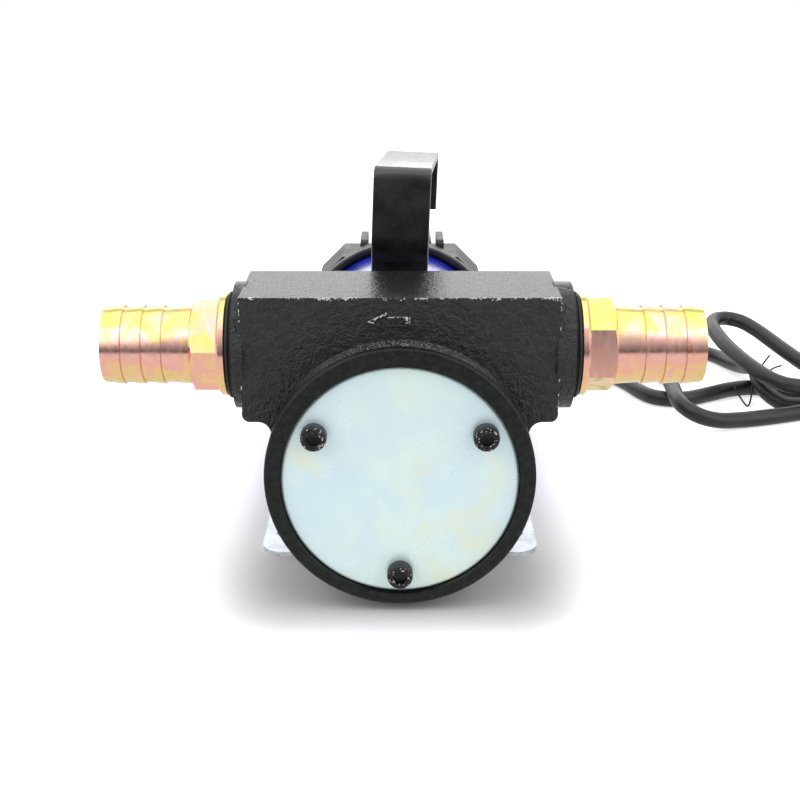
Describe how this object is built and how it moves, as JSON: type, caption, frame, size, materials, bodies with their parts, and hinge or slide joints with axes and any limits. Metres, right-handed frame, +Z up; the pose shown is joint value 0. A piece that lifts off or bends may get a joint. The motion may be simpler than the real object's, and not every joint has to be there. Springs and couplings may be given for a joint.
{
  "type": "electric diesel transfer pump",
  "caption": "Self-priming rotary vane pump on a mains motor, with two barbed hose tails, foot bracket, hooked carry handle, rocker switch under a clear boot and a tied mains lead with plug.",
  "frame": {"origin": "on the floor, at the centre of the foot bracket's four holes", "axes": "+X to the inlet side, +Y along the motor from the pump cover to the switch box, +Z up"},
  "size_m": [0.4466, 0.397, 0.1612],
  "materials": {
    "black_casting": "rough cast, coated black",
    "black_alloy": "cast alloy, coated black",
    "black_plastic": "moulded, fine grain",
    "zinc_plate": "pale blue zinc plate",
    "gasket_fibre": "pressed fibre sheet",
    "black_screws": "black oxide",
    "yellow_zinc": "yellow passivated zinc plate, iridescent",
    "black_rubber": "moulded",
    "brass": "turned",
    "spring_steel": "drawn wire",
    "zinc_screws": "bright zinc plate",
    "blue_paint": "gloss blue paint",
    "ferrite": "pressed ferrite",
    "bearing_steel": "ground",
    "sintered_steel": "sintered",
    "vane_resin": "filled resin",
    "core_steel": "stacked sheet",
    "winding_copper": "varnished copper",
    "board_resin": "laminated board",
    "carbon": "pressed carbon",
    "lead_cover": "lead insulation",
    "red_rocker": "moulded",
    "clear_boot": "soft clear moulding",
    "cord_cover": "smooth sheath",
    "plug_rubber": "moulded",
    "bright_zinc": "bright zinc plate",
    "handle_paint": "black coated steel strip"
  },
  "bodies": {
    "housing": {"pump_casting": "black_casting", "cover_plate": "zinc_plate", "cover_gasket": "gasket_fibre", "cover_screws": "black_screws", "hose_tail_inlet": "yellow_zinc", "hose_tail_outlet": "yellow_zinc", "port_washers": "black_rubber", "bypass_spring": "spring_steel", "bypass_retainer": "brass", "shaft_seal": "black_rubber", "motor_front_bell": "black_alloy", "flange_bolts": "zinc_screws", "motor_tube": "blue_paint", "field_magnets": "ferrite", "rear_bell": "black_alloy", "tie_bolts": "zinc_screws", "bearing_outer_rings": "bearing_steel", "brush_ring": "board_resin", "brush_holders": "brass", "carbon_brushes": "carbon", "brush_springs": "spring_steel", "switch_box": "black_plastic", "box_screws": "zinc_screws", "rectifier": "black_plastic", "inner_leads": "lead_cover", "switch_body": "black_plastic", "switch_terminals": "brass", "rain_boot": "clear_boot", "gland_body": "black_plastic", "gland_locknut": "black_plastic", "gland_cap": "black_plastic", "cord_relief": "black_rubber", "power_cord": "cord_cover", "cord_hank": "cord_cover", "cord_tie": "black_plastic", "mains_plug": "plug_rubber", "plug_pins": "brass", "foot_bracket": "bright_zinc", "bracket_screws": "zinc_screws", "carry_handle": "handle_paint", "handle_screws": "zinc_screws"},
    "rotor": {"motor_shaft": "bearing_steel", "pump_rotor": "sintered_steel", "rotor_vanes": "vane_resin", "rotor_key": "bearing_steel", "armature_core": "core_steel", "armature_windings": "winding_copper", "commutator": "winding_copper", "bearing_inner_rings": "bearing_steel", "bearing_balls": "bearing_steel"},
    "rocker": {"switch_rocker": "red_rocker"},
    "valve": {"bypass_poppet": "brass"}
  },
  "joints": [
    {"name": "shaft_spin", "type": "hinge", "parent": "housing", "child": "rotor", "pos_m": [0, 0, 0.055], "axis": [0, 1, 0], "continuous": true},
    {"name": "switch_rock", "type": "hinge", "parent": "housing", "child": "rocker", "pos_m": [0.0011, 0.124, 0.098], "axis": [0, 1, 0], "range_deg": [0, 20]},
    {"name": "bypass_lift", "type": "slide", "parent": "housing", "child": "valve", "axis": [1, 0, 0], "range_m": [0, 0.004], "stiffness_N_per_m": 2000, "springref_m": -0.005, "deforming": ["bypass_spring"]}
  ]
}
